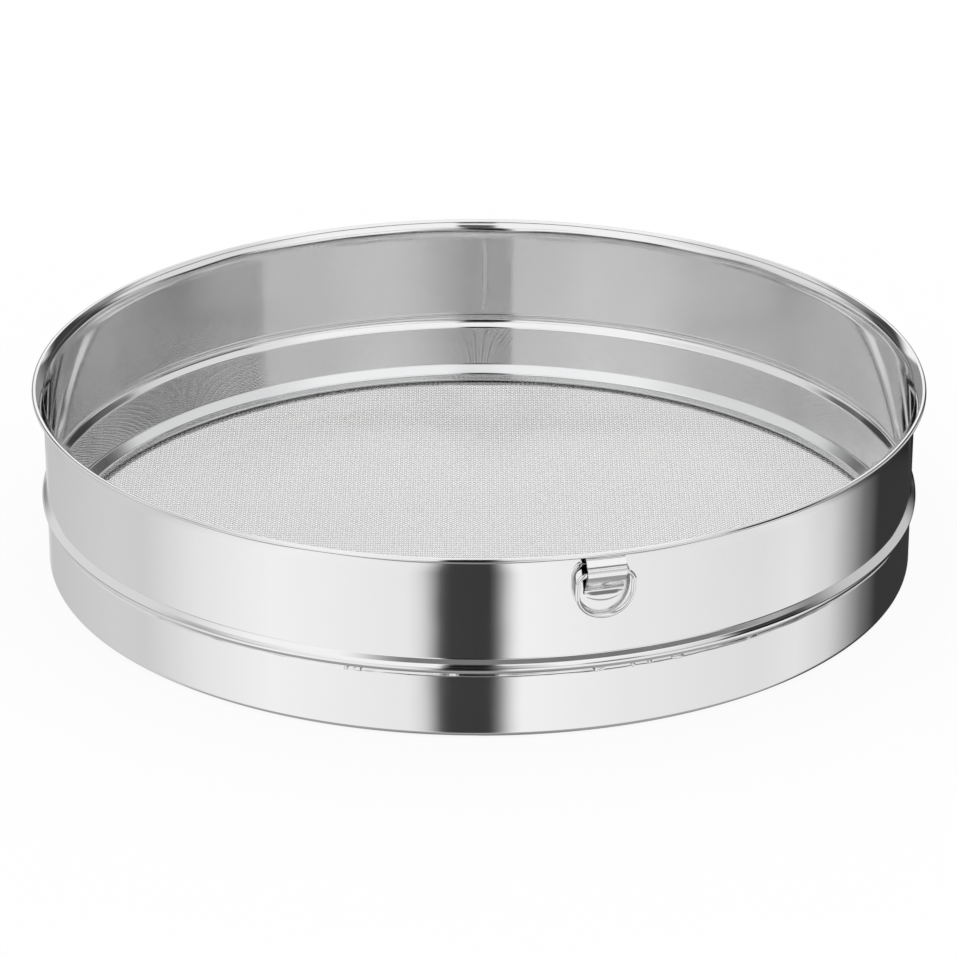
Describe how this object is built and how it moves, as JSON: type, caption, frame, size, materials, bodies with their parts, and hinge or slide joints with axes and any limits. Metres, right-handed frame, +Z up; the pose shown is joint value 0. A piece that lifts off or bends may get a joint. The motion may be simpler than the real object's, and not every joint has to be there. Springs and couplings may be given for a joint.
{
  "type": "tamis drum sieve",
  "caption": "Low round stainless steel drum sieve with a curled rim, a rolled bead, a flat woven wire floor and a swinging D ring to hang it by.",
  "frame": {"origin": "on the drum's axis, at the surface that the sieve stands on", "axes": "+Z up along the drum's axis, towards the curled rim; the hanger strap and D ring are on the -Y side; +X completes the right-handed frame"},
  "size_m": [0.3, 0.3009, 0.063],
  "materials": {
    "wall_steel": "mirror polished stainless steel sheet",
    "band_steel": "mirror polished stainless steel sheet",
    "clamp_steel": "bright drawn stainless steel channel",
    "wire_cloth": "plain woven stainless steel wire cloth",
    "strap_steel": "bright folded stainless steel strip",
    "ring_steel": "polished stainless steel wire"
  },
  "bodies": {
    "drum": {"drum_wall": "wall_steel", "lower_band": "band_steel", "retaining_ring": "clamp_steel", "mesh_cloth": "wire_cloth", "hanger_strap": "strap_steel"},
    "ring": {"hanging_ring": "ring_steel"}
  },
  "joints": [
    {"name": "ring_swing", "type": "hinge", "parent": "drum", "child": "ring", "pos_m": [0, -0.14945, 0.05561], "axis": [-1, 0, 0], "range_deg": [-1, 170]}
  ]
}
